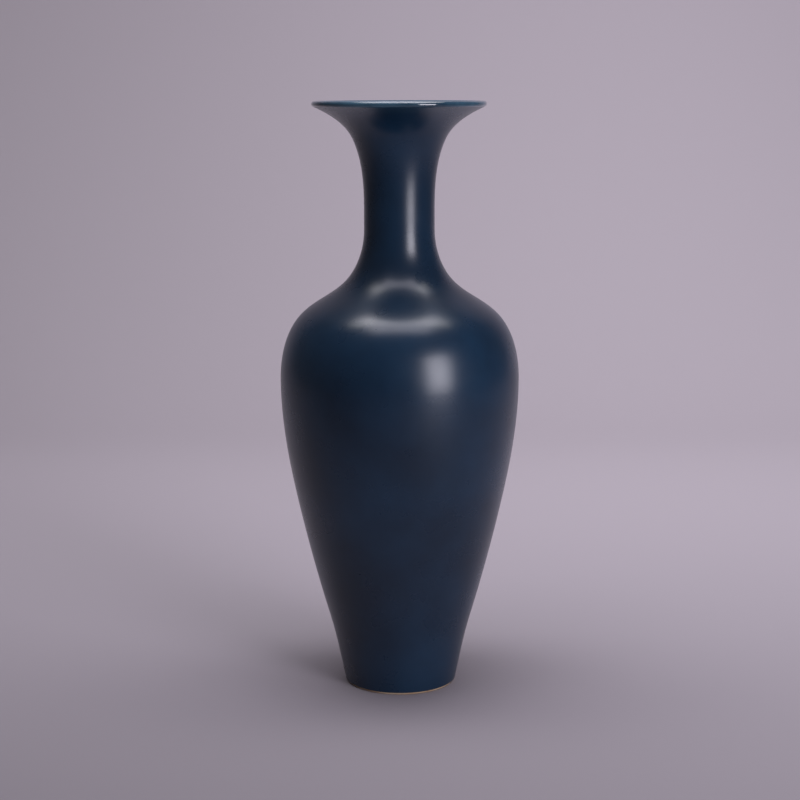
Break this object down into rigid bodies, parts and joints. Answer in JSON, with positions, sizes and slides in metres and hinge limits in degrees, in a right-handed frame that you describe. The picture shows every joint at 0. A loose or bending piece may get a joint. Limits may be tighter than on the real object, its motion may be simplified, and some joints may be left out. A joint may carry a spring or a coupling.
{
  "type": "baluster vase",
  "caption": "Tall baluster vase with high shoulder, narrow neck and trumpet mouth, satin deep blue glaze, white inside, turned bare foot ring.",
  "frame": {"origin": "centre of the foot ring's rest plane, at the bottom of the bounding box", "axes": "+Z is the axis of revolution, up through the mouth, and the longest extent; X and Y are alike"},
  "size_m": [0.1706, 0.1706, 0.42],
  "materials": {
    "porcelain": "bare fired biscuit, tan where it shows at the foot",
    "luting_slip": "matt",
    "blue_glaze": "satin",
    "lip_glaze": "gloss",
    "white_glaze": "gloss"
  },
  "bodies": {
    "root": {"lower_section": "porcelain", "upper_section": "porcelain", "neck_section": "porcelain", "belly_luting_ring": "luting_slip", "neck_luting_ring": "luting_slip", "outer_glaze": "blue_glaze", "lip_glaze": "lip_glaze", "inner_glaze": "white_glaze", "base_glaze": "white_glaze"}
  },
  "joints": []
}
